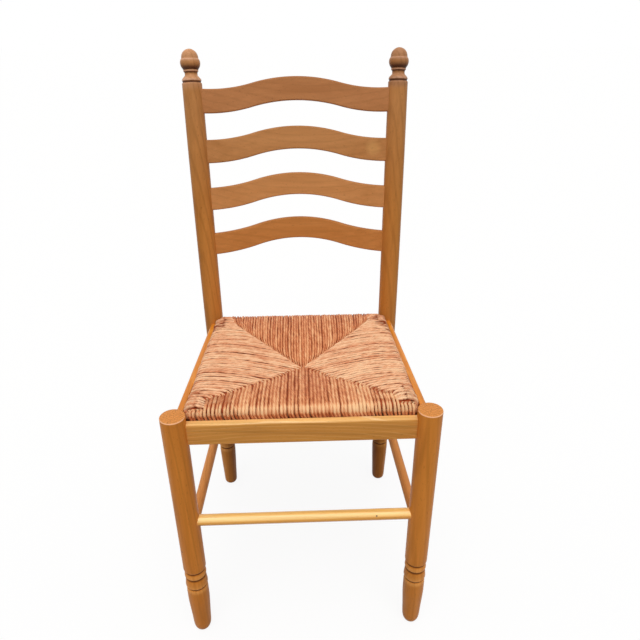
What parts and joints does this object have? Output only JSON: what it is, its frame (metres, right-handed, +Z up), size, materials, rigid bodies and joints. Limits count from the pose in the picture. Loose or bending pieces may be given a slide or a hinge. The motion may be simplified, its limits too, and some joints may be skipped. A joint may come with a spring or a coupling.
{
  "type": "ladderback chair",
  "caption": "Wooden ladderback dining chair with serpentine slats, acorn finials, turned feet and a drop-in woven rush seat.",
  "frame": {"origin": "on the floor under the middle of the chair's outline", "axes": "+X to the chair's right as seen from the front, +Y to the back, +Z up"},
  "size_m": [0.4206, 0.4435, 0.95],
  "materials": {
    "turned_wood": "satin lacquered beech, legs and posts",
    "slat_wood": "satin lacquered beech, steam-bent slats",
    "rail_wood": "satin lacquered beech, seat rails",
    "rung_wood": "satin lacquered beech, rungs",
    "raw_wood": "raw sawn beech, hidden pieces",
    "stuffing": "packed loose rush",
    "rush": "twisted rush cord, woven"
  },
  "bodies": {
    "frame": {"front_leg_left": "turned_wood", "front_leg_right": "turned_wood", "back_post_left": "turned_wood", "back_post_right": "turned_wood", "slat_1": "slat_wood", "slat_2": "slat_wood", "slat_3": "slat_wood", "slat_4": "slat_wood", "rail_front": "rail_wood", "rail_right": "rail_wood", "rail_back": "rail_wood", "rail_left": "rail_wood", "stretcher_front": "rung_wood", "stretcher_right": "rung_wood", "stretcher_back": "rung_wood", "stretcher_left": "rung_wood", "corner_block_front_left": "raw_wood", "corner_block_front_right": "raw_wood", "corner_block_back_right": "raw_wood", "corner_block_back_left": "raw_wood"},
    "seat": {"seat_frame_front": "raw_wood", "seat_frame_right": "raw_wood", "seat_frame_back": "raw_wood", "seat_frame_left": "raw_wood", "rush_stuffing_front": "stuffing", "rush_stuffing_right": "stuffing", "rush_stuffing_back": "stuffing", "rush_stuffing_left": "stuffing", "rush_weave": "rush"}
  },
  "joints": [
    {"name": "seat_lift", "type": "slide", "parent": "frame", "child": "seat", "axis": [0, 0, 1], "range_m": [0, 0.06]}
  ]
}
